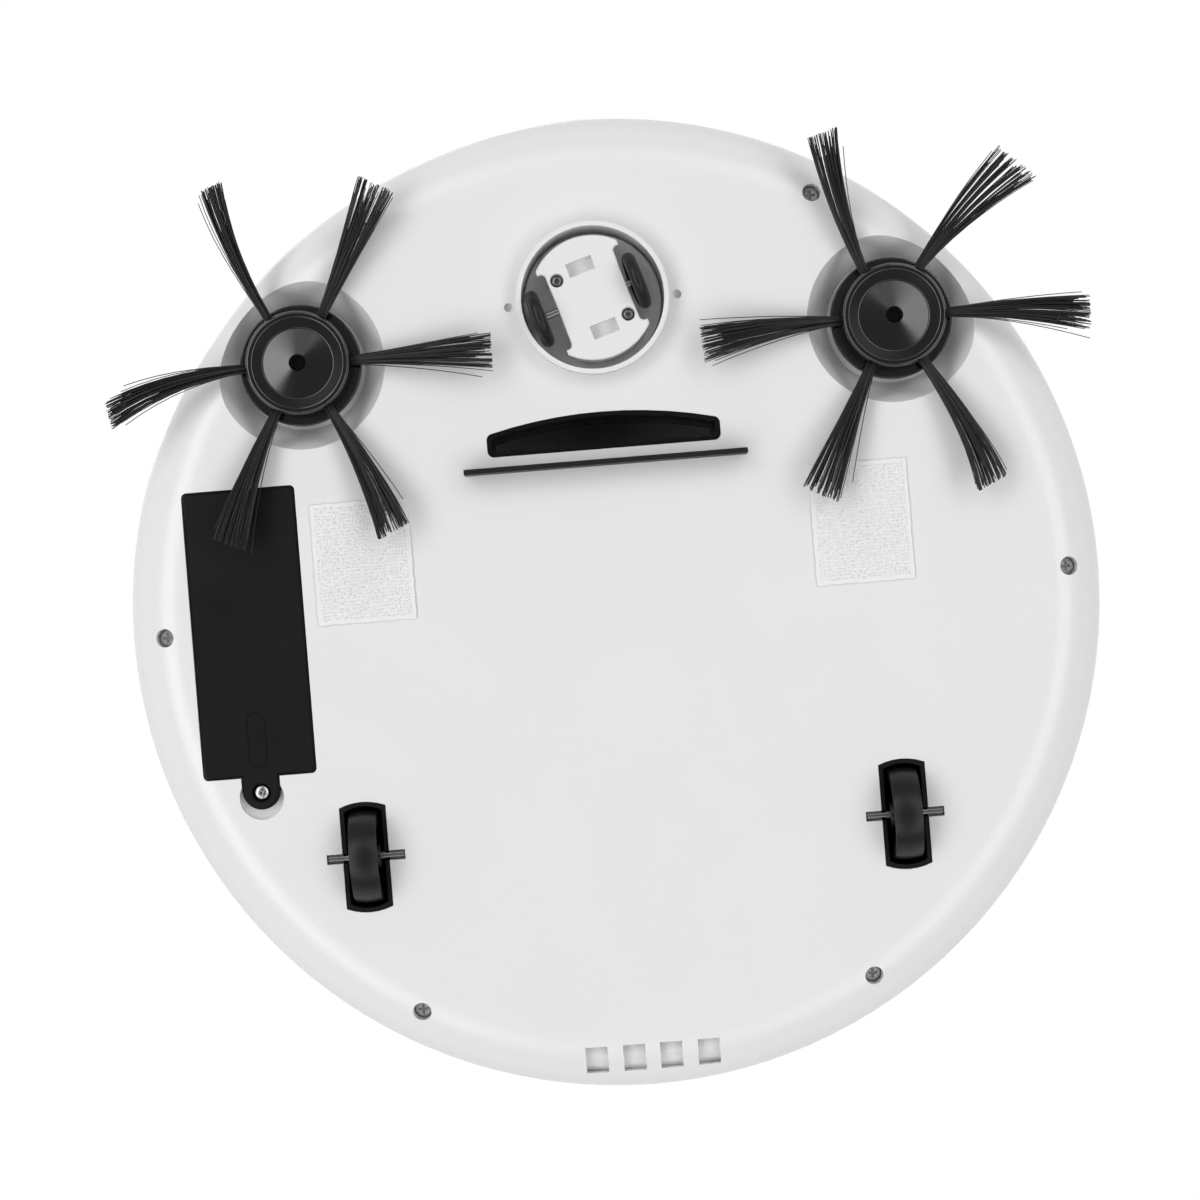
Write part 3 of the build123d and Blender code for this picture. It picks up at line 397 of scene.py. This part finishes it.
def screw_tree():
    """A domed screw with a cross recess, its head towards -Z and its seat at the origin."""
    number = "NodeSocketFloat"
    nodes, given = tree_with(
        "cross_screw",
        {
            "Head d": number, "Head h": number, "Shank d": number, "Length": number, "Turn": number,
            "Material": "NodeSocketMaterial",
        },
    )
    arm_share, slot_share = 0.66, 0.19
    tall = given["Head h"]
    times, triple = nodes.times, nodes.triple

    def lifted(shape, z):
        return nodes.add("GeometryNodeTransform", {"Geometry": shape.outputs[0], "Translation": triple(z=z)})

    radius = times(given["Head d"], 0.5)
    ball = nodes.add("GeometryNodeMeshUVSphere", {"Segments": 40, "Rings": 24, "Radius": 1.0})
    stretch = triple(radius, radius, tall)
    dome = nodes.add("GeometryNodeTransform", {"Geometry": ball.outputs[0], "Scale": stretch})
    arm, slot = times(given["Head d"], arm_share), times(given["Head d"], slot_share)
    wide = times(given["Head d"], 2.0)
    top, upper_half = times(tall, -1.0), times(tall, 0.5)
    cuts = nodes.add("GeometryNodeJoinGeometry")
    for x, y, z in ((arm, slot, top), (slot, arm, top), (wide, wide, upper_half)):
        cube = lifted(nodes.add("GeometryNodeMeshCube", {"Size": triple(x, y, tall)}), z)
        nodes.tree.links.new(cube.outputs[0], cuts.inputs[0])
    meshes = {"Mesh 1": dome.outputs[0], "Mesh 2": cuts.outputs[0]}
    head = nodes.add("GeometryNodeMeshBoolean", meshes, operation="DIFFERENCE")
    rod = {"Vertices": 20, "Radius": times(given["Shank d"], 0.5), "Depth": given["Length"]}
    shank = lifted(nodes.add("GeometryNodeMeshCylinder", rod), times(given["Length"], 0.5))
    joined = nodes.add("GeometryNodeJoinGeometry")
    for part in (shank, head):
        nodes.tree.links.new(part.outputs[0], joined.inputs[0])
    turned = nodes.add(
        "GeometryNodeTransform", {"Geometry": joined.outputs[0], "Rotation": triple(z=given["Turn"])}
    )
    return end_tree(nodes, turned.outputs[0], given["Material"])


def corners(points):
    """The low and high corner of some points."""
    return [Vector([pick(p[axis] for p in points) for axis in range(3)]) for pick in (min, max)]


def halves(node):
    """The corners of a node's left and right half."""
    split = middle(node).x
    points = [v.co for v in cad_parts[node].data.vertices]
    return [corners([p for p in points if (p.x < split) == left]) for left in (True, False)]


class VAC_OT_screws(bpy.types.Operator):
    """Make the screws that show"""

    bl_idname = "vac.screws"
    bl_label = "Screws"

    def execute(self, context):
        first_turn, turn_step = 0.4, 0.5
        tree = screw_tree()
        steel = drawn_metal("screw_steel", (0.42, 0.42, 0.43), rough=0.16, stretch=even_lines)
        dark = drawn_metal("blackened_screw", (0.12, 0.12, 0.12), rough=0.2, stretch=even_lines)
        door, table = "battery_door_screw", "turntable_screws"
        kinds = (
            (door, "base", [corners(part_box(door))], 1.0 * mm, 2.0 * mm, steel, "steel"),
            (table, "turntable", halves(table), 0.8 * mm, 1.5 * mm, dark, "black_screw"),
        )
        for node, body, boxes, tall, shank, metal, slot in kinds:
            for i, (low, high) in enumerate(boxes):
                values = {
                    "Head d": high.x - low.x, "Head h": tall, "Shank d": shank,
                    "Length": high.z - low.z - tall, "Turn": first_turn + turn_step * i, "Material": metal,
                }
                seat = (low + high) / 2
                seat.z = low.z + tall
                screw = made_by(tree, f"{node}_{i + 1}", values, Matrix.Translation(seat))
                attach(screw, body)
                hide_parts(node)
        return {"FINISHED"}


def tuft_tree():
    """Strands that leave a hub in a bundle, fan out, bend sideways and end raggedly."""
    number = "NodeSocketFloat"
    nodes, given = tree_with(
        "bristle_tuft",
        {
            "Strands": "NodeSocketInt", "Root r": number, "Tip r": number, "Root z": number, "Tip z": number,
            "Root w": number, "Tip w": number, "Tip t": number, "Thick": number, "Angle": number,
            "Lean": number, "Curl": number, "Seed": "NodeSocketInt", "Material": "NodeSocketMaterial",
        },
    )
    points_along, sides_round = 9, 5
    shortfall, few_short = 0.16, 2.2
    few_strays, stray_width, usual_width = 24.0, 0.7, 0.86
    clump_step, clump_share = 0.34, 0.28
    waves_along, wave_height = 4.5, 0.35 * mm
    bundle_share, fan_power = 0.36, 1.25
    droop, tip_thinning = 0.15, 0.2
    times, plus, minus, power = nodes.times, nodes.plus, nodes.minus, nodes.power
    line = nodes.add("GeometryNodeCurvePrimitiveLine", {"End": (1.0, 0.0, 0.0)})
    fine = nodes.add("GeometryNodeResampleCurve", {"Curve": line.outputs[0], "Count": points_along})
    spline = {"Geometry": fine.outputs[0], "Amount": given["Strands"]}
    copies = nodes.add("GeometryNodeDuplicateElements", spline, domain="SPLINE")
    strand = copies.outputs["Duplicate Index"]
    along = nodes.add("GeometryNodeSplineParameter").outputs["Factor"]

    def chance(low, high, salt):
        sockets = {2: low, 3: high, "ID": strand, "Seed": plus(given["Seed"], salt)}
        return nodes.add("FunctionNodeRandomValue", sockets).outputs[1]

    across = chance(-1.0, 1.0, 0)
    upright = chance(-1.0, 1.0, 1)
    reach = minus(1.0, times(shortfall, power(chance(0.0, 1.0, 2), few_short)))
    stray = power(chance(0.0, 1.0, 3), few_strays)
    wide = plus(usual_width, times(stray, stray_width))
    t = times(along, reach)
    to_tip = minus(1.0, t)
    # Neighbouring strands cling together in clumps
    clump = nodes.math("SNAP", across, clump_step)
    fan = plus(times(across, 1 - clump_share), times(clump, clump_share))
    wave = nodes.math("SINE", plus(times(t, waves_along), chance(0.0, full_turn, 4)))
    wave = times(wave, times(t, chance(0.0, wave_height, 5)))
    root_half = times(given["Root w"], bundle_share)
    tip_half = times(times(given["Tip w"], 0.5), wide)
    sideways = times(times(across, root_half), to_tip)
    sideways = plus(sideways, times(times(fan, tip_half), power(t, fan_power)))
    sideways = plus(sideways, wave)
    outward = plus(given["Root r"], times(minus(given["Tip r"], given["Root r"]), t))
    fall = minus(times(t, 1 + droop), times(droop, power(t, 2.0)))
    height = plus(times(minus(given["Tip z"], given["Root z"]), fall), given["Root z"])
    height = plus(height, times(times(upright, root_half), to_tip))
    height = plus(height, times(times(upright, times(given["Tip t"], 0.5)), t))
    straight = nodes.triple(outward, sideways, height)
    turn = plus(given["Angle"], times(given["Lean"], power(t, given["Curl"])))
    bent = {"Vector": straight, "Angle": turn}
    placed = nodes.add("ShaderNodeVectorRotate", bent, rotation_type="Z_AXIS")
    moved = nodes.add(
        "GeometryNodeSetPosition", {"Geometry": copies.outputs[0], "Position": placed.outputs[0]}
    )
    tone = nodes.add(
        "GeometryNodeStoreNamedAttribute",
        {"Geometry": moved.outputs[0], "Name": "tone", "Value": chance(0.0, 1.0, 6)},
    )
    thin = times(times(given["Thick"], 0.5), minus(1.0, times(t, tip_thinning)))
    ring = nodes.add("GeometryNodeCurvePrimitiveCircle", {"Resolution": sides_round, "Radius": 1.0})
    tubes = nodes.add(
        "GeometryNodeCurveToMesh",
        {"Curve": tone.outputs[0], "Profile Curve": ring.outputs[0], "Scale": thin, "Fill Caps": True},
    )
    return end_tree(nodes, tubes.outputs[0], given["Material"])


def bristle_finish():
    """Black nylon whose strands differ a little."""
    material, nodes, shader, place = finish_of("black_nylon", **{"Specular IOR Level": 0.45})
    tone = nodes.add("ShaderNodeAttribute", attribute_name="tone").outputs["Fac"]
    fine = nodes.noise(place, 1.5 * mm)
    links = nodes.tree.links
    links.new(nodes.blend(tone, (0.003, 0.003, 0.0032), (0.028, 0.028, 0.0285)), shader.inputs["Base Color"])
    links.new(nodes.spread(fine, 0.28, 0.5), shader.inputs["Roughness"])
    return material


class VAC_OT_bristles(bpy.types.Operator):
    """Make the bristle tufts of both brushes"""

    bl_idname = "vac.bristles"
    bl_label = "Bristles"

    def execute(self, context):
        size = context.scene.vac_bristles
        tree = tuft_tree()
        nylon = bristle_finish()
        first_seed, tuft_seeds, side_seeds = 11, 20, 200
        for which, side in enumerate(sides):
            hub = middle(f"{side}_brush_hub")
            leans = getattr(size, side)
            curls = getattr(size, f"{side}_curls")
            fans = getattr(size, f"{side}_fans")
            for i in range(len(leans)):
                name = f"{side}_brush_tuft_{i + 1}"
                values = {
                    "Strands": size.strands, "Root r": size.root_r, "Tip r": size.tip_r,
                    "Root z": size.root_z, "Tip z": size.tip_z, "Root w": size.root_w,
                    "Tip w": size.tip_w * fans[i], "Tip t": size.tip_t, "Thick": size.thick,
                    "Angle": radians(360 / len(leans) * i), "Lean": radians(leans[i]), "Curl": curls[i],
                    "Seed": first_seed + tuft_seeds * i + side_seeds * which, "Material": nylon,
                }
                tuft = made_by(tree, f"{name}_bristles", values, Matrix.Translation((hub.x, hub.y, 0)))
                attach(tuft, f"{side}_brush")
                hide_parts(name)
        return {"FINISHED"}


def tape_tree():
    """Hook tape: a woven base with rows of small bent hooks inside a plain border."""
    number = "NodeSocketFloat"
    nodes, given = tree_with(
        "hook_tape",
        {
            "Width": number, "Length": number, "Thick": number, "Base": number, "Pitch": number,
            "Border": number, "Seed": "NodeSocketInt", "Material": "NodeSocketMaterial",
        },
    )
    threads_share, weave_height = 0.25, 0.06 * mm
    fray_scale, fray_size = 700.0, 0.7 * mm
    base_share = 0.9
    hook_r, hook_tilt, shortest_hook = 0.09 * mm, 0.15, 0.75
    width, length, pitch = given["Width"], given["Length"], given["Pitch"]
    times, triple = nodes.times, nodes.triple

    def vector(operation, first, second):
        return nodes.add("ShaderNodeVectorMath", {0: first, 1: second}, operation=operation).outputs[0]

    def grid(x, y, step):
        counts = {"Vertices X": nodes.math("DIVIDE", x, step), "Vertices Y": nodes.math("DIVIDE", y, step)}
        return nodes.add("GeometryNodeMeshGrid", {"Size X": x, "Size Y": y, **counts})

    def shifted(shape, offset):
        return nodes.add("GeometryNodeSetPosition", {"Geometry": shape.outputs[0], "Offset": offset})

    thread = times(pitch, threads_share)
    sheet = grid(width, length, thread)
    place = nodes.add("GeometryNodeInputPosition").outputs[0]
    axes = nodes.add("ShaderNodeSeparateXYZ", {"Vector": place}).outputs
    waves = [nodes.math("SINE", nodes.math("DIVIDE", times(axis, pi), thread)) for axis in axes[:2]]
    lift = nodes.plus(given["Base"], times(times(waves[0], waves[1]), weave_height))
    fray = nodes.add("ShaderNodeTexNoise", {"Vector": place, "Scale": fray_scale, "Detail": 2.0}).outputs[1]
    fray = vector("MULTIPLY", vector("SUBTRACT", fray, (0.5, 0.5, 0.5)), (fray_size, fray_size, 0.0))
    woven = shifted(sheet, vector("ADD", fray, triple(z=lift)))
    down = {"Offset": triple(z=times(given["Base"], -1.0)), "Offset Scale": base_share, "Individual": False}
    under = nodes.add("GeometryNodeExtrudeMesh", {"Mesh": woven.outputs[0], **down})
    under = nodes.add("GeometryNodeFlipFaces", {"Mesh": under.outputs[0]})
    inner = [nodes.minus(edge, times(given["Border"], 2.0)) for edge in (width, length)]
    raised = shifted(grid(*inner, pitch), triple(z=given["Base"]))
    tall = nodes.minus(given["Thick"], given["Base"])
    over = triple(x=times(tall, 0.2), z=times(tall, 1.8))
    tip = triple(x=times(tall, 0.8), z=times(tall, 0.3))
    cane = nodes.add(
        "GeometryNodeCurveQuadraticBezier", {"Resolution": 6, "Start": (0, 0, 0), "Middle": over, "End": tip}
    )
    ring = nodes.add("GeometryNodeCurvePrimitiveCircle", {"Resolution": 3, "Radius": hook_r})
    wire = {"Curve": cane.outputs[0], "Profile Curve": ring.outputs[0], "Fill Caps": True}
    hook = nodes.add("GeometryNodeCurveToMesh", wire)
    turns = {0: (-hook_tilt, -hook_tilt, 0.0), 1: (hook_tilt, hook_tilt, full_turn), "Seed": given["Seed"]}
    spin = nodes.add("FunctionNodeRandomValue", turns, data_type="FLOAT_VECTOR")
    heights = {2: shortest_hook, 3: 1.0, "Seed": nodes.plus(given["Seed"], 1)}
    height = nodes.add("FunctionNodeRandomValue", heights)
    rows = nodes.add(
        "GeometryNodeInstanceOnPoints",
        {
            "Points": raised.outputs[0], "Instance": hook.outputs[0], "Rotation": spin.outputs[0],
            "Scale": height.outputs[1],
        },
    )
    joined = nodes.add("GeometryNodeJoinGeometry")
    for part in (rows, under, woven):
        nodes.tree.links.new(part.outputs[0], joined.inputs[0])
    return end_tree(nodes, joined.outputs[0], given["Material"])


def tape_finish():
    """White nylon tape with a faint weave in its colour."""
    material, nodes, shader, place = finish_of("white_tape", **{"Roughness": 0.75, "Sheen Weight": 0.25})
    cloud = nodes.noise(place, 5 * mm)
    threads = nodes.noise(place, 0.35 * mm, 1.0, (0.4, 1.0, 1.0))
    links = nodes.tree.links
    tone = nodes.plus(nodes.times(cloud, 0.5), nodes.times(threads, 0.5))
    links.new(nodes.blend(tone, (0.80, 0.80, 0.80), (0.88, 0.88, 0.88)), shader.inputs["Base Color"])
    return material


class VAC_OT_tape(bpy.types.Operator):
    """Make the hook tape pads that hold a mop cloth"""

    bl_idname = "vac.tape"
    bl_label = "Hook tape"

    def execute(self, context):
        size = context.scene.vac_tape
        tree = tape_tree()
        nylon = tape_finish()
        trim = 0.6 * mm
        first_seed = 5
        for which, side in enumerate(sides):
            low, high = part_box(f"{side}_hook_pad")
            width, length, thick = (end - start for start, end in zip(low, high))
            values = {
                "Width": width - trim, "Length": length - trim, "Thick": thick, "Base": size.base_t,
                "Pitch": size.pitch, "Border": size.border, "Seed": first_seed + which, "Material": nylon,
            }
            spot = middle(f"{side}_hook_pad")
            spot.z = high[2]
            turned_over = Matrix.Translation(spot) @ Matrix.Rotation(pi, 4, "X")
            tape = made_by(tree, f"{side}_hook_tape", values, turned_over)
            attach(tape, "base")
            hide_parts(f"{side}_hook_pad")
        return {"FINISHED"}


def lamp(name, power, size, place, aim):
    """A square soft lamp aimed at a point."""
    data = bpy.data.lights.new(name, "AREA")
    data.energy = power
    data.size = size
    light = bpy.data.objects.new(name, data)
    light.location = place
    light.rotation_euler = (Vector(aim) - Vector(place)).to_track_quat("-Z", "Y").to_euler()
    light.visible_camera = False
    bpy.context.scene.collection.objects.link(light)


def studio_floor():
    """A pale floor that shows from above only, fades into the white and lets the light from below through."""
    mesh = bpy.data.meshes.new("floor")
    reach = 1.0
    fade_from, fade_to = 0.2, 0.7
    grey = (0.9, 0.9, 0.9, 1.0)
    square = ((-reach, -reach, 0), (reach, -reach, 0), (reach, reach, 0), (-reach, reach, 0))
    mesh.from_pydata(square, [], [(0, 1, 2, 3)])
    floor = bpy.data.objects.new("floor", mesh)
    bpy.context.scene.collection.objects.link(floor)
    material = bpy.data.materials.new("pale_floor")
    material.use_nodes = True
    material.node_tree.nodes.clear()
    nodes = Nodes(material.node_tree)
    path = nodes.add("ShaderNodeLightPath").outputs
    back = nodes.add("ShaderNodeNewGeometry").outputs["Backfacing"]
    place = nodes.add("ShaderNodeTexCoord").outputs["Object"]
    far = nodes.add("ShaderNodeVectorMath", {0: place}, operation="LENGTH").outputs["Value"]
    near = nodes.spread(far, 1.0, 0.0, fade_from, fade_to)
    above = nodes.times(path["Is Camera Ray"], nodes.minus(1.0, back))
    shown = nodes.times(above, near)
    clear = nodes.add("ShaderNodeBsdfTransparent")
    matt = nodes.add("ShaderNodeBsdfDiffuse", {"Color": grey})
    mix = nodes.add("ShaderNodeMixShader", {0: shown, 1: clear.outputs[0], 2: matt.outputs[0]})
    out = nodes.add("ShaderNodeOutputMaterial")
    nodes.tree.links.new(mix.outputs[0], out.inputs["Surface"])
    mesh.materials.append(material)


def studio_world(size):
    """A light tent, bright in a ring round the camera, with white behind the object."""
    overhead, zenith = 0.95, 0.85
    horizon, dome = (-0.30, 0.05), (0.1, 0.7)
    ring_inside, ring_outside = (-0.885, -0.865), (-0.64, -0.52)
    front_and_back, wing_edge = 0.25, (0.1, 0.5)
    world = bpy.data.worlds.new("studio")
    bpy.context.scene.world = world
    world.use_nodes = True
    world.node_tree.nodes.clear()
    nodes = Nodes(world.node_tree)
    path = nodes.add("ShaderNodeLightPath").outputs
    seen = nodes.math("MAXIMUM", path["Is Camera Ray"], path["Is Transmission Ray"])
    direction = nodes.add("ShaderNodeTexCoord").outputs["Generated"]
    x, _, z = nodes.add("ShaderNodeSeparateXYZ", {0: direction}).outputs
    even = nodes.spread(z, size.sky, overhead, *horizon)
    even = nodes.times(even, nodes.spread(z, 1.0, zenith, *dome))
    inner = nodes.spread(z, 0.0, size.ring, *ring_inside)
    outer = nodes.spread(z, 1.0, 0.0, *ring_outside)
    side = nodes.minus(1.0, nodes.times(x, size.lean))
    wings = nodes.spread(nodes.math("ABSOLUTE", x), front_and_back, 1.0, *wing_edge)
    ring = nodes.times(nodes.times(inner, outer), nodes.times(side, wings))
    tent = nodes.plus(even, ring)
    strength = nodes.add("ShaderNodeMix", {0: seen, 2: tent, 3: 1.0}).outputs[0]
    white = nodes.add("ShaderNodeBackground", {"Color": (1.0, 1.0, 1.0, 1.0), "Strength": strength})
    out = nodes.add("ShaderNodeOutputWorld")
    nodes.tree.links.new(white.outputs[0], out.inputs["Surface"])


class VAC_OT_studio(bpy.types.Operator):
    """Set up the floor, the light and the camera under the robot"""

    bl_idname = "vac.studio"
    bl_label = "Studio"

    def execute(self, context):
        size = context.scene.vac_studio
        shift_across, shift_up, underside = -4.2 * mm, 0.5 * mm, 9.5 * mm
        studio_floor()
        studio_world(size)
        lamp("top_lamp", power=size.top, size=0.8, place=(-0.5, -0.7, 1.2), aim=(0, 0, 30 * mm))
        data = bpy.data.cameras.new("camera")
        data.lens = size.lens
        data.sensor_width = 36.0
        data.clip_start = 10 * mm
        camera = bpy.data.objects.new("camera", data)
        across = Vector((cos(size.turn), sin(size.turn), 0))
        up = Vector((sin(size.turn), -cos(size.turn), 0))
        spot = across * shift_across + up * shift_up
        spot.z = underside - size.distance
        facing = Matrix((across, up, (0, 0, -1))).transposed().to_4x4()
        camera.matrix_world = Matrix.Translation(spot) @ facing
        context.scene.collection.objects.link(camera)
        context.scene.camera = camera
        context.scene.view_settings.view_transform = "Standard"
        return {"FINISHED"}


class VAC_PT_looks(bpy.types.Panel):
    """Lists the steps that dress the robot vacuum"""

    bl_idname = "VAC_PT_looks"
    bl_label = "Robot vacuum"
    bl_space_type = "VIEW_3D"
    bl_region_type = "UI"
    bl_category = "Robot vacuum"

    def draw(self, context):
        for group in groups:
            values = getattr(context.scene, group)
            box = self.layout.box()
            for name in values.__annotations__:
                box.prop(values, name)
        for step in steps:
            self.layout.operator(step.bl_idname)


groups = {
    "vac_finish": FinishSizes,
    "vac_bristles": BristleSizes,
    "vac_tape": TapeSizes,
    "vac_studio": StudioSizes,
}
steps = (
    VAC_OT_mouldings, VAC_OT_rubber, VAC_OT_metal, VAC_OT_inside, VAC_OT_screws, VAC_OT_bristles,
    VAC_OT_tape, VAC_OT_studio,
)


def register():
    """Make the groups, the steps and the panel known to Blender."""
    for group in groups.values():
        bpy.utils.register_class(group)
    for step in steps:
        bpy.utils.register_class(step)
    bpy.utils.register_class(VAC_PT_looks)
    for name, group in groups.items():
        setattr(bpy.types.Scene, name, PointerProperty(type=group))


def unregister():
    """Take them out again."""
    for name in groups:
        delattr(bpy.types.Scene, name)
    bpy.utils.unregister_class(VAC_PT_looks)
    for item in (*steps, *groups.values()):
        bpy.utils.unregister_class(item)


def main():
    """Dress the robot and set the stage."""
    register()
    bpy.ops.vac.mouldings()
    bpy.ops.vac.rubber()
    bpy.ops.vac.metal()
    bpy.ops.vac.inside()
    bpy.ops.vac.screws()
    bpy.ops.vac.bristles()
    bpy.ops.vac.tape()
    bpy.ops.vac.studio()


if __name__ == "__main__":
    main()
